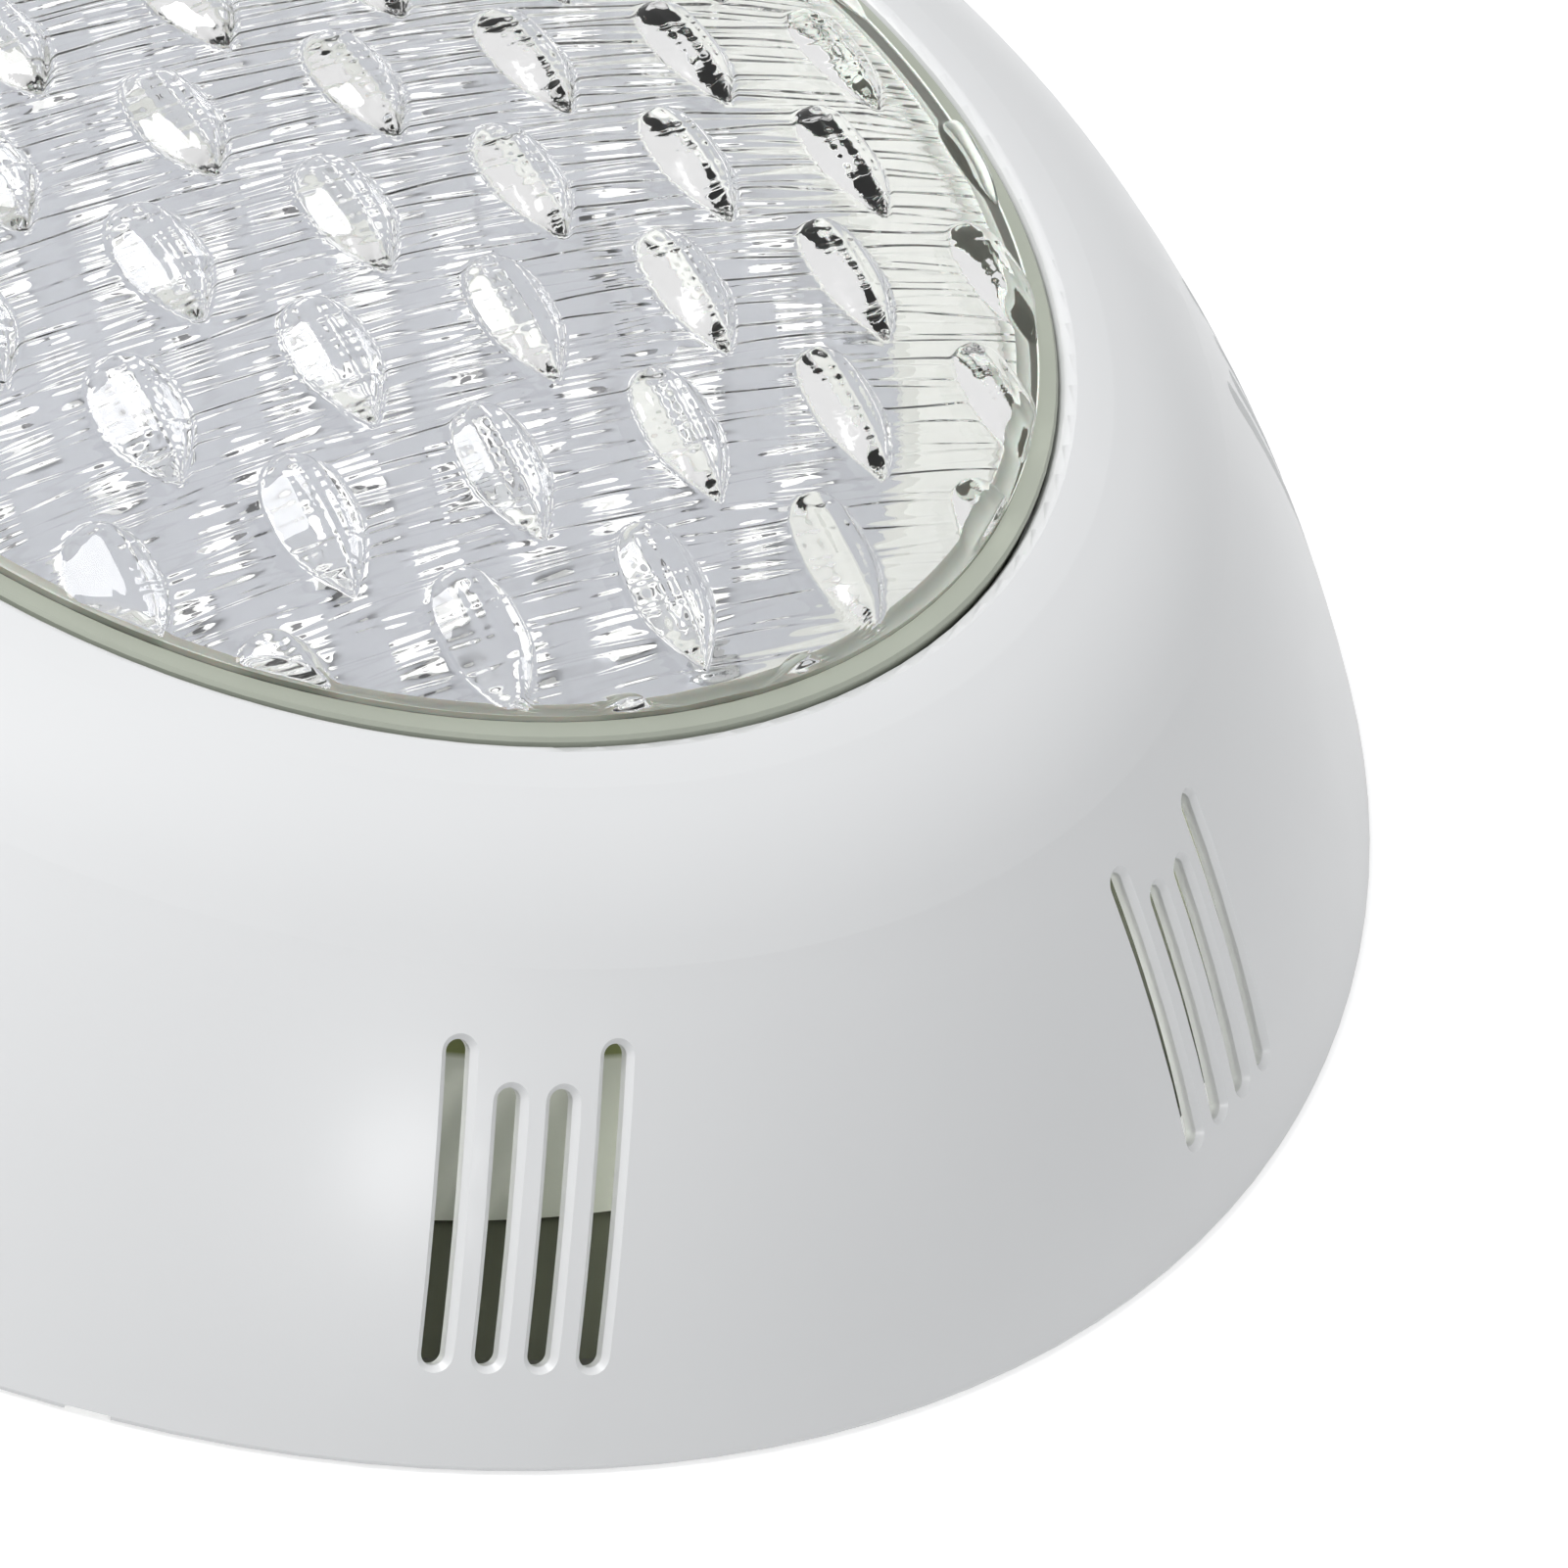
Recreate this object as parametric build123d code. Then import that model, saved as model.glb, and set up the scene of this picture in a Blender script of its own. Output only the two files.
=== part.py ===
from build123d import *
import math
import os

# Surface mounted underwater pool light: slotted cover, sealed lamp, carrier, gland and wall bracket.
# Millimetres, +Z up. The lamp shines along +Z and the wall is the plane z = 0.
# The origin is the centre of the wall face. Every node is written to parts/NODE.step.

# ---------------------------------------------------------------- driving sizes
COVER_RADIUS = 145.0          # outer radius of the cover's skirt, on the wall
RIM_RADIUS = 89.0             # outer edge of the lip round the opening
RIM_HEIGHT = 52.3             # top of the lip above the wall
COVER_WALL = 2.0
COVER_LAND = 0.5              # short upright land at the skirt's foot
OPENING_RADIUS = RIM_RADIUS - 1.0
FLANK_MIDDLE = (0.739, 0.419)  # points on the dome's outer face, as shares of the way
FLANK_TOP = (0.411, 0.809)     # from lip to skirt and from wall to lip
SHOULDER_TOP = (0.098, 0.987)

SLOT_GROUPS = 8
SLOTS_PER_GROUP = 4
SLOT_WIDTH = 2.65
SLOT_PITCH = 6.0
SLOT_FOOT_HEIGHT = 9.8
SLOT_TOP_OUTER = RIM_HEIGHT - 15.5
SLOT_TOP_INNER = SLOT_TOP_OUTER - 3.6
SLOT_EDGE_BEVEL = 0.7
FIRST_GROUP_ANGLE = -90.0

RUN_GAP = 0.3                 # gap between pieces of different bodies
HINGE_GAP = 0.06              # radial clearance of a turning fit

CARRIER_RADIUS = RIM_RADIUS + 24.0
CARRIER_WALL = 2.5
CARRIER_FOOT = 3.6
CARRIER_FLANGE_TOP = RIM_HEIGHT - 15.3
CARRIER_FLANGE_THICKNESS = 2.5
CARRIER_HOLE_RADIUS = 88.0

BRACKET_RADIUS = COVER_RADIUS - 11.0
BRACKET_THICKNESS = 3.0
WALL_HOLE_COUNT = 4
WALL_HOLE_RADIUS = 2.75
WALL_HOLE_CIRCLE = 92.0
HOOK_COUNT = 4
HOOK_SPAN = 16.0
LUG_SPAN = 13.0
LUG_START = 1.0               # turn between a lug's end and the hook's stop
LUG_BOTTOM = 6.0
LUG_TOP = 9.0

GASKET_TOP = RIM_HEIGHT - 0.3
GASKET_RADIUS = OPENING_RADIUS - RUN_GAP
GASKET_SHELF = 1.5

LENS_RADIUS = 85.0
LENS_SPHERE_RADIUS = 262.0
LENS_WALL = 3.2
LENS_EDGE_HEIGHT = GASKET_TOP + 0.8   # where the dome meets the lens's side
LENS_FOOT = GASKET_TOP - 5.1
LENS_FLANGE_RADIUS = LENS_RADIUS + 1.2
LENS_FLANGE_TOP = GASKET_TOP - 2.0
LUMP_RADIUS = 4.6             # prismatic lumps moulded on the dome
LUMP_LENGTH = 15.0
LUMP_RISE = 2.6
LUMP_PITCH_ALONG = 24.2
LUMP_PITCH_ACROSS = 18.2
LUMP_ROW_ANGLE = 17.8
LUMP_ORIGIN = (-35.7, -49.6)
LUMP_REACH = 82.0
LUMP_TRIM_RADIUS = 87.3

BOWL_FLANGE_RADIUS = 96.5
BOWL_FLANGE_THICKNESS = 2.6
BOWL_WALL = 2.6
BOWL_FLOOR = 17.0
BOWL_FOOT_RADIUS = 76.0
BOWL_NECK_RADIUS = 86.0
BOWL_RIM_TOP = LENS_FOOT - 2.5
BOWL_RIM_RADIUS = 93.8
BOWL_RIM_INNER = 82.4
GASKET_INNER = BOWL_RIM_INNER + 1.4

RING_SCREW_COUNT = 8
RING_SCREW_CIRCLE = 91.2
RING_THICKNESS = 1.0

CLIP_COUNT = 4
CLIP_CIRCLE = 99.6
CLIP_THICKNESS = 1.2
CLIP_WIDTH = 5.4
CLIP_FACE_GAP = 0.1
CLIP_SCREW_RADIUS = 1.74

BOARD_RADIUS = 75.0
BOARD_THICKNESS = 1.6
SPREADER_RADIUS = 76.5
SPREADER_THICKNESS = 2.5
BOARD_TOP = CARRIER_FLANGE_TOP - 1.0
BOARD_SCREW_CIRCLE = 70.5
BOARD_SCREW_COUNT = 6
LED_SIDE = 5.0
LED_HEIGHT = 1.6
LED_RING_STEP = 13.0
LED_RING_FIRST = 10.0
LED_RINGS = 5
LEDS_IN_FIRST_RING = 6

DRIVER_BOTTOM = 22.6
DRIVER_RADIUS = 52.0
DRIVER_SCREW_CIRCLE = 46.0
DRIVER_TOP = DRIVER_BOTTOM + BOARD_THICKNESS
WIRE_RADIUS = 0.8
WIRE_HOLE_RADIUS = 2.4
WIRE_SPOT = (41.0, 7.5)
LEAD_BEND = 3.0

GLAND_BORE = 5.0
GLAND_STUB_RADIUS = 9.5
GLAND_SHANK_RADIUS = 8.0
GLAND_COLLAR_FLATS = 2 * GLAND_STUB_RADIUS + 5.0
DRIVER_HOLE_RADIUS = GLAND_STUB_RADIUS + 5.0   # the nut passes through the driver board
GLAND_NUT_FLATS = 2 * GLAND_STUB_RADIUS + 3.6
CONDUIT_HOLE_RADIUS = GLAND_NUT_FLATS / 2 + 2.9
GLAND_STUB_BOTTOM = 3.6
GLAND_COLLAR_BOTTOM = 11.6
GLAND_COLLAR_TOP = 15.6
GLAND_SHANK_TOP = 24.6
CABLE_HOLE_RADIUS = 4.1
CABLE_MOUTH_RADIUS = 4.8

FIN_INNER = CARRIER_RADIUS - 12.0             # fins under the cover that find the carrier
FIN_OUTER = CARRIER_RADIUS + 4.0
FIN_BOTTOM = 22.0
FIN_THICKNESS = 2.0
PRY_NOTCH_ANGLE = -108.0
PRY_NOTCH_WIDTH = 5.0
PRY_NOTCH_HEIGHT = 0.5

HOOK_WALL_INNER = 96.6
HOOK_WALL_OUTER = 98.8
HOOK_LIP_OUTER = 104.0
HOOK_TOP = 12.0
HOOK_STOP_SPAN = 1.5
LUG_INNER = 99.6
RIB_RING_RADIUS = 82.0
RIB_THICKNESS = 2.0
RIB_TOP = 7.0
EDGE_RIB_TOP = 5.0
RIB_SPOKES = 8
CONDUIT_COLLAR_RADIUS = CONDUIT_HOLE_RADIUS + 1.8
WALL_PAD_TOP = 5.0
BRACKET_WINDOWS = ((24.0, 46.0, 28.0), (52.0, 76.0, 34.0))   # inner, outer radius, span

CLIP_BOSS_RADIUS = 3.0
CLIP_FIRST_ANGLE = 45.0
WINDOW_SPAN = 13.0

BACK_FINS = 24                # cooling fins under the bowl's floor
BACK_FIN_INNER = 24.0
BACK_FIN_OUTER = 68.0
BACK_FIN_BOTTOM = 12.5

BOARD_SCREW_RADIUS = 1.5
DRIVER_SCREW_RADIUS = 1.2
RING_SCREW_RADIUS = 1.3
RING_SCREW_ANGLE = 22.5
TERMINAL_X = 30.0
TERMINAL_PITCH = 5.0

SEAL_RADIUS = 6.9
SEAL_TOP = 9.2
NUT_BOTTOM = 1.2
NUT_TOP = 11.2
NUT_END_WALL = 2.0
NUT_GROOVES = 16

BOTTOM = (Align.CENTER, Align.CENTER, Align.MIN)


# ---------------------------------------------------------------- helpers
def disc(radius, bottom, top):
    """Upright cylinder on the Z axis between two heights."""
    return Pos(0, 0, bottom) * Cylinder(radius, top - bottom, align=BOTTOM)


def tube(outer, inner, bottom, top):
    """Upright ring on the Z axis."""
    return disc(outer, bottom, top) - disc(inner, bottom, top)


def block(size_x, size_y, bottom, top):
    """Box centred on the Z axis, between two heights."""
    return Pos(0, 0, bottom) * Box(size_x, size_y, top - bottom, align=BOTTOM)


def turned(points):
    """Solid of revolution about Z from a closed outline of (radius, height) points."""
    return revolve(Plane.XZ * make_face(Polyline(*points, close=True)), Axis.Z, 360)


def prism(flats, bottom, top, sides=6):
    """Upright regular prism given by its width across flats."""
    corner = flats / 2 / math.cos(math.pi / sides)
    face = RegularPolygon(corner, sides)
    return extrude(Pos(0, 0, bottom) * face, top - bottom)


def sector(inner, outer, bottom, top, start, span):
    """Part of a ring from one angle, turning through span degrees."""
    reach = outer * 1.5
    corners = [(0, 0)]
    steps = max(2, math.ceil(span / 20))
    for step in range(steps + 1):
        angle = math.radians(start + span * step / steps)
        corners.append((reach * math.cos(angle), reach * math.sin(angle)))
    wedge = extrude(Pos(0, 0, bottom) * make_face(Polyline(*corners, close=True)), top - bottom)
    return tube(outer, inner, bottom, top) & wedge


def spread(shape, radius, count, first_angle=0.0):
    """Copies of a shape standing on a circle round Z, each turned with its angle."""
    angles = [first_angle + 360.0 * place / count for place in range(count)]
    return [Rot(0, 0, angle) * Pos(radius, 0, 0) * shape for angle in angles]


def group(solids):
    """One node made of separate solids."""
    return Compound(children=list(solids))


def pan_screw(head_radius, head_height, shank_radius, shank_length):
    """Cross recessed screw, its head's underside at z = 0 and its shank below."""
    head = disc(head_radius, 0, head_height)
    head = fillet(head.edges().sort_by(Axis.Z)[-1:], head_height * 0.55)
    recess_depth = head_height * 0.6
    arm = head_radius * 1.1
    recess = block(arm, head_radius * 0.24, head_height - recess_depth, head_height + 1)
    recess += Rot(0, 0, 90) * recess
    shank = disc(shank_radius, -shank_length, 0)
    shank = chamfer(shank.edges().sort_by(Axis.Z)[:1], shank_radius * 0.4)
    return head + shank - recess


# ---------------------------------------------------------------- cover
def dome_point(radial_share, height_share):
    """Point (radius, height) on the dome from its shares of the cover's spread and depth."""
    return (RIM_RADIUS + radial_share * (COVER_RADIUS - RIM_RADIUS), height_share * RIM_HEIGHT)


def cover_outline():
    """Outer curve of the cover from the skirt's foot up to the lip."""
    middle, top, shoulder_top = [dome_point(*shares) for shares in (FLANK_MIDDLE, FLANK_TOP, SHOULDER_TOP)]
    flank = ThreePointArc((COVER_RADIUS, COVER_LAND), middle, top)
    shoulder = TangentArc(flank @ 1, shoulder_top, tangent=flank % 1)
    crown = TangentArc(shoulder @ 1, (RIM_RADIUS + 0.8, RIM_HEIGHT), tangent=shoulder % 1)
    lip = TangentArc(crown @ 1, (RIM_RADIUS - 0.5, RIM_HEIGHT - 0.7), tangent=crown % 1)
    return [flank, shoulder, crown, lip]


def inset(curve, place, depth):
    """Point a depth inside a curve of the outline."""
    point = curve @ place
    along = curve % place
    return (point.X - along.Y * depth, point.Y + along.X * depth)


def dome_radius(height):
    """Radius of the cover's flank at a height, from its circle."""
    centre, reach = flank_circle()
    return centre[0] + math.sqrt(reach ** 2 - (height - centre[1]) ** 2)


def flank_circle():
    """Centre and radius of the flank's arc in the (radius, height) plane."""
    flank = cover_outline()[0]
    centre = flank.arc_center
    return (centre.X, centre.Y), flank.radius


def cover_shell():
    """Dome with its skirt and its rolled lip, before the slots are cut."""
    flank, shoulder, crown, lip = cover_outline()
    foot = Polyline((COVER_RADIUS - COVER_WALL * 1.1, 0), (COVER_RADIUS, 0), flank @ 0)
    bevel_end = (OPENING_RADIUS, RIM_HEIGHT - 2.2)
    inner_top = inset(crown, 0.2, COVER_WALL)
    bevel = Polyline(lip @ 1, bevel_end, (OPENING_RADIUS, inner_top[1]), inner_top)
    inner_shoulder = ThreePointArc(
        inner_top, inset(shoulder, 0.5, COVER_WALL), inset(flank, 1, COVER_WALL)
    )
    inner_flank = ThreePointArc(
        inset(flank, 1, COVER_WALL),
        inset(flank, 0.5, COVER_WALL),
        (COVER_RADIUS - COVER_WALL * 1.1, 0),
    )
    outline = foot + [flank, shoulder, crown, lip] + bevel + [inner_shoulder, inner_flank]
    face = make_face(outline)
    return revolve(Plane.XZ * face, Axis.Z, 360)


def slot_cutter(offset, top_height):
    """Round ended slot tool through the flank at +X, shifted sideways by offset."""
    foot_radius = dome_radius(SLOT_FOOT_HEIGHT)
    head_radius = dome_radius(top_height)
    rise = top_height - SLOT_FOOT_HEIGHT
    run = foot_radius - head_radius
    length = math.hypot(rise, run)
    lean = math.degrees(math.atan2(run, rise))
    middle = ((foot_radius + head_radius) / 2, offset, (SLOT_FOOT_HEIGHT + top_height) / 2)
    sketch = SlotOverall(length, SLOT_WIDTH, rotation=90)
    tool = extrude(sketch, COVER_WALL * 4, both=True)
    stand_up = Rot(0, 90 - lean, 0) * Rot(0, 0, 90)
    return Pos(*middle) * stand_up * tool


def slot_group():
    """Cutters of one group: parallel slots, the outer ones reaching higher."""
    cutters = []
    for place in range(SLOTS_PER_GROUP):
        offset = (place - (SLOTS_PER_GROUP - 1) / 2) * SLOT_PITCH
        outer = place in (0, SLOTS_PER_GROUP - 1)
        cutters.append(slot_cutter(offset, SLOT_TOP_OUTER if outer else SLOT_TOP_INNER))
    return cutters


def on_flank(edge):
    """True when an edge lies on the cover's outer flank."""
    for place in (0.1, 0.5, 0.9):
        point = edge @ place
        if abs(math.hypot(point.X, point.Y) - dome_radius(point.Z)) > 0.02:
            return False
    return True


def cover_envelope(drop):
    """Solid space under the cover's outer face, lowered by drop."""
    flank, shoulder, crown, _ = cover_outline()
    top = Polyline((RIM_RADIUS + 0.8, RIM_HEIGHT), (0, RIM_HEIGHT), (0, 0), (COVER_RADIUS, 0), flank @ 0)
    space = revolve(Plane.XZ * make_face(top + [flank, shoulder, crown]), Axis.Z, 360)
    return Pos(0, 0, -drop) * space


def locating_fins():
    """Fins under the dome that sit on the carrier's flange and hug its wall."""
    fin = Pos((FIN_INNER + FIN_OUTER) / 2, 0, FIN_BOTTOM) * Box(
        FIN_OUTER - FIN_INNER, FIN_THICKNESS, RIM_HEIGHT - FIN_BOTTOM, align=BOTTOM
    )
    carrier_room = disc(CARRIER_RADIUS + RUN_GAP, 0, CARRIER_FLANGE_TOP + RUN_GAP)
    fin = (fin - carrier_room) & cover_envelope(COVER_WALL * 0.5)
    turn = FIRST_GROUP_ANGLE + 180.0 / SLOT_GROUPS
    return [Rot(0, 0, turn + 360.0 * place / SLOT_GROUPS) * fin for place in range(SLOT_GROUPS)]


def pry_notch():
    """Cutter for the small notch in the skirt's foot, used to prise the cover off."""
    notch = Box(COVER_WALL * 4, PRY_NOTCH_WIDTH, PRY_NOTCH_HEIGHT * 2)
    notch = fillet(notch.edges().filter_by(Axis.X), PRY_NOTCH_HEIGHT * 0.5)
    return Rot(0, 0, PRY_NOTCH_ANGLE) * Pos(COVER_RADIUS, 0, 0) * notch


def front_cover():
    """Slotted dome with locating fins inside."""
    step = 360.0 / SLOT_GROUPS
    cutters = []
    for place in range(SLOT_GROUPS):
        cutters += [Rot(0, 0, FIRST_GROUP_ANGLE + step * place) * cutter for cutter in slot_group()]
    cover = cover_shell() - cutters
    mouth_edges = [
        edge for edge in cover.edges()
        if edge.geom_type != GeomType.CIRCLE and on_flank(edge)
    ]
    cover = chamfer(mouth_edges, SLOT_EDGE_BEVEL)
    cover = cover + locating_fins()
    return cover - pry_notch()


# ---------------------------------------------------------------- wall bracket
def hook():
    """Bayonet hook: upright wall with an outward lip and an end stop."""
    start = -HOOK_SPAN / 2
    wall = sector(HOOK_WALL_INNER, HOOK_WALL_OUTER, BRACKET_THICKNESS - 0.5, HOOK_TOP, start, HOOK_SPAN)
    lip = sector(HOOK_WALL_OUTER - 0.5, HOOK_LIP_OUTER, LUG_TOP + RUN_GAP, HOOK_TOP, start, HOOK_SPAN)
    stop = sector(
        HOOK_WALL_OUTER - 0.5, HOOK_LIP_OUTER, BRACKET_THICKNESS - 0.5, HOOK_TOP,
        start, HOOK_STOP_SPAN,
    )
    return wall + lip + stop


def bracket_ribs():
    """Stiffening web on the bracket: one ring and spokes between the screw holes."""
    ring = tube(RIB_RING_RADIUS, RIB_RING_RADIUS - RIB_THICKNESS, BRACKET_THICKNESS - 0.5, RIB_TOP)
    edge_ring = tube(
        BRACKET_RADIUS, BRACKET_RADIUS - RIB_THICKNESS, BRACKET_THICKNESS - 0.5, EDGE_RIB_TOP
    )
    length = RIB_RING_RADIUS - RIB_THICKNESS / 2 - CONDUIT_COLLAR_RADIUS
    spoke = Pos(0, 0, BRACKET_THICKNESS - 0.5) * Box(
        length, RIB_THICKNESS, RIB_TOP - BRACKET_THICKNESS + 0.5, align=BOTTOM
    )
    spokes = spread(spoke, CONDUIT_COLLAR_RADIUS + length / 2, RIB_SPOKES, 0)
    collar = tube(CONDUIT_COLLAR_RADIUS + 1, CONDUIT_HOLE_RADIUS, BRACKET_THICKNESS - 0.5, RIB_TOP)
    return [ring, edge_ring, collar] + spokes


def bracket_windows():
    """Cutters for the openings between the spokes that save material."""
    cutters = []
    for inner, outer, span in BRACKET_WINDOWS:
        cutter = sector(inner, outer, -1, BRACKET_THICKNESS + 1, -span / 2, span)
        cutter = fillet(cutter.edges().filter_by(Axis.Z), 2.0)
        step = 360.0 / RIB_SPOKES
        cutters += [Rot(0, 0, step * (place + 0.5)) * cutter for place in range(RIB_SPOKES)]
    return cutters


def wall_bracket():
    """Plate fixed to the pool wall, with screw holes, conduit hole, ribs and hooks."""
    plate = disc(BRACKET_RADIUS, 0, BRACKET_THICKNESS) - bracket_windows()
    plate = plate + bracket_ribs()
    plate = plate + [Rot(0, 0, 360.0 * place / HOOK_COUNT) * hook() for place in range(HOOK_COUNT)]
    pad = disc(WALL_HOLE_RADIUS + 3.5, 0, WALL_PAD_TOP)
    first = 180.0 / WALL_HOLE_COUNT
    plate = plate + spread(pad, WALL_HOLE_CIRCLE, WALL_HOLE_COUNT, first)
    hole = disc(WALL_HOLE_RADIUS, -1, WALL_PAD_TOP + 1)
    plate = plate - spread(hole, WALL_HOLE_CIRCLE, WALL_HOLE_COUNT, first)
    return plate - disc(CONDUIT_HOLE_RADIUS, -1, RIB_TOP + 1)


# ---------------------------------------------------------------- carrier
def carrier():
    """Round housing that holds the lamp and turns into the bracket's hooks."""
    inner = CARRIER_RADIUS - CARRIER_WALL
    flange_bottom = CARRIER_FLANGE_TOP - CARRIER_FLANGE_THICKNESS
    wall = tube(CARRIER_RADIUS, inner, CARRIER_FOOT, CARRIER_FLANGE_TOP)
    flange = tube(CARRIER_RADIUS - 1, CARRIER_HOLE_RADIUS, flange_bottom, CARRIER_FLANGE_TOP)
    skirt = tube(CARRIER_HOLE_RADIUS + 2.5, CARRIER_HOLE_RADIUS, flange_bottom - 4, flange_bottom + 0.5)
    body = wall + flange + skirt
    lug_from = -HOOK_SPAN / 2 + HOOK_STOP_SPAN + LUG_START
    lug = sector(LUG_INNER, inner + 0.5, LUG_BOTTOM, LUG_TOP, lug_from, LUG_SPAN)
    body = body + [Rot(0, 0, 360.0 * place / HOOK_COUNT) * lug for place in range(HOOK_COUNT)]
    boss = disc(CLIP_BOSS_RADIUS, flange_bottom - 5, clip_bottom() - CLIP_FACE_GAP)
    body = body + spread(boss, CLIP_CIRCLE, CLIP_COUNT, CLIP_FIRST_ANGLE)
    hole = disc(CLIP_SCREW_RADIUS, flange_bottom - 4, clip_bottom() + 1)
    body = body - spread(hole, CLIP_CIRCLE, CLIP_COUNT, CLIP_FIRST_ANGLE)
    return body - water_windows(flange_bottom)


def water_windows(flange_bottom):
    """Cutters for the openings that let pool water rise past the bowl."""
    window = sector(
        CARRIER_HOLE_RADIUS + 9, CARRIER_RADIUS - CARRIER_WALL - 2.5,
        flange_bottom - 1, CARRIER_FLANGE_TOP + 1, -WINDOW_SPAN / 2, WINDOW_SPAN,
    )
    return [
        Rot(0, 0, CLIP_FIRST_ANGLE + 45 + 90 * place + turn) * window
        for place in range(4) for turn in (-WINDOW_SPAN * 0.62, WINDOW_SPAN * 0.62)
    ]


# ---------------------------------------------------------------- clips
def clip_bottom():
    """Underside of the clips, just above the bowl's flange."""
    return CARRIER_FLANGE_TOP + BOWL_FLANGE_THICKNESS + CLIP_FACE_GAP


def clip(angle):
    """Stainless swing clip: its arm holds the bowl's flange until it is turned aside."""
    reach = CLIP_CIRCLE - BOWL_RIM_RADIUS - RUN_GAP
    arm = Circle(reach) & Pos(-reach / 2, 0) * Rectangle(reach, CLIP_WIDTH)
    plate = arm + Circle(CLIP_WIDTH / 2) - Circle(CLIP_SCREW_RADIUS + HINGE_GAP)
    solid = extrude(Pos(0, 0, clip_bottom()) * plate, CLIP_THICKNESS)
    return Rot(0, 0, angle) * Pos(CLIP_CIRCLE, 0, 0) * solid


def clip_screws():
    """Pivot screws of the clips, threaded into the carrier's bosses."""
    shank = CLIP_THICKNESS + 7
    screw = pan_screw(2.6, 1.5, CLIP_SCREW_RADIUS, shank)
    screw = Pos(0, 0, clip_bottom() + CLIP_THICKNESS + CLIP_FACE_GAP) * screw
    return group(spread(screw, CLIP_CIRCLE, CLIP_COUNT, CLIP_FIRST_ANGLE))


# ---------------------------------------------------------------- lamp bowl and lens
def board_posts():
    """Posts in the bowl that carry the heat spreader and the driver board."""
    tall = disc(3.6, BOWL_FLOOR + 1, BOARD_TOP - BOARD_THICKNESS - SPREADER_THICKNESS)
    posts = spread(tall, BOARD_SCREW_CIRCLE, BOARD_SCREW_COUNT, 0)
    low = disc(3.2, BOWL_FLOOR + 1, DRIVER_BOTTOM)
    return posts + spread(low, DRIVER_SCREW_CIRCLE, 4, 45)


def lamp_bowl():
    """Sealed back of the lamp, with the flange that rests on the carrier."""
    flange_top = CARRIER_FLANGE_TOP + BOWL_FLANGE_THICKNESS
    floor_top = BOWL_FLOOR + BOWL_WALL
    outer = turned([
        (0, BOWL_FLOOR), (BOWL_FOOT_RADIUS - 3, BOWL_FLOOR), (BOWL_FOOT_RADIUS, BOWL_FLOOR + 3),
        (BOWL_NECK_RADIUS, CARRIER_FLANGE_TOP), (BOWL_FLANGE_RADIUS, CARRIER_FLANGE_TOP),
        (BOWL_FLANGE_RADIUS, flange_top), (BOWL_RIM_RADIUS, flange_top),
        (BOWL_RIM_RADIUS, BOWL_RIM_TOP), (0, BOWL_RIM_TOP),
    ])
    inner = turned([
        (0, floor_top), (BOWL_FOOT_RADIUS - BOWL_WALL - 2, floor_top),
        (BOWL_FOOT_RADIUS - BOWL_WALL, floor_top + 2),
        (BOWL_RIM_INNER, CARRIER_FLANGE_TOP), (BOWL_RIM_INNER, BOWL_RIM_TOP + 1),
        (0, BOWL_RIM_TOP + 1),
    ])
    cavity_limit = disc(BOWL_RIM_INNER + 1, BOWL_FLOOR, BOWL_RIM_TOP + 2)
    bowl = outer - inner + [post & cavity_limit for post in board_posts()]
    screw_hole = disc(BOARD_SCREW_RADIUS, BOARD_TOP - 12, BOARD_TOP)
    bowl = bowl - spread(screw_hole, BOARD_SCREW_CIRCLE, BOARD_SCREW_COUNT, 0)
    low_hole = disc(DRIVER_SCREW_RADIUS, DRIVER_BOTTOM - 3.5, DRIVER_BOTTOM + 1)
    bowl = bowl - spread(low_hole, DRIVER_SCREW_CIRCLE, 4, 45)
    rim_hole = disc(RING_SCREW_RADIUS, BOWL_RIM_TOP - 5, BOWL_RIM_TOP + 1)
    bowl = bowl - spread(rim_hole, RING_SCREW_CIRCLE, RING_SCREW_COUNT, RING_SCREW_ANGLE)
    fins = Pos((BACK_FIN_INNER + BACK_FIN_OUTER) / 2, 0, BACK_FIN_BOTTOM) * Box(
        BACK_FIN_OUTER - BACK_FIN_INNER, 1.8, BOWL_FLOOR - BACK_FIN_BOTTOM + 0.5, align=BOTTOM
    )
    bowl = bowl + [Rot(0, 0, 360.0 * place / BACK_FINS + 7.5) * fins for place in range(BACK_FINS)]
    return bowl - disc(GLAND_SHANK_RADIUS + 0.2, BOWL_FLOOR - 1, floor_top + 1)


def lens_height(radius, drop=0.0):
    """Height of the lens's dome at a radius, drop millimetres below its outer face."""
    apex_centre = LENS_EDGE_HEIGHT - math.sqrt(LENS_SPHERE_RADIUS ** 2 - LENS_RADIUS ** 2)
    return apex_centre + math.sqrt((LENS_SPHERE_RADIUS - drop) ** 2 - radius ** 2)


def lump_spots():
    """Centres of the staggered lumps that fall inside the lens's dome."""
    turn = math.radians(LUMP_ROW_ANGLE)
    along = (math.cos(turn), math.sin(turn))
    across = (math.sin(turn), -math.cos(turn))
    spots = []
    for row in range(-12, 13):
        for column in range(-12, 13):
            shift = (column + row % 2 / 2) * LUMP_PITCH_ALONG
            x = LUMP_ORIGIN[0] + shift * along[0] + row * LUMP_PITCH_ACROSS * across[0]
            y = LUMP_ORIGIN[1] + shift * along[1] + row * LUMP_PITCH_ACROSS * across[1]
            if math.hypot(x, y) < LUMP_REACH:
                spots.append((x, y))
    return spots


def dome_ball(drop=0.0):
    """Sphere of the lens's dome, drop millimetres below its outer face."""
    radius = LENS_SPHERE_RADIUS - drop
    return Pos(0, 0, lens_height(0, drop) - radius) * Sphere(radius)


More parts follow.
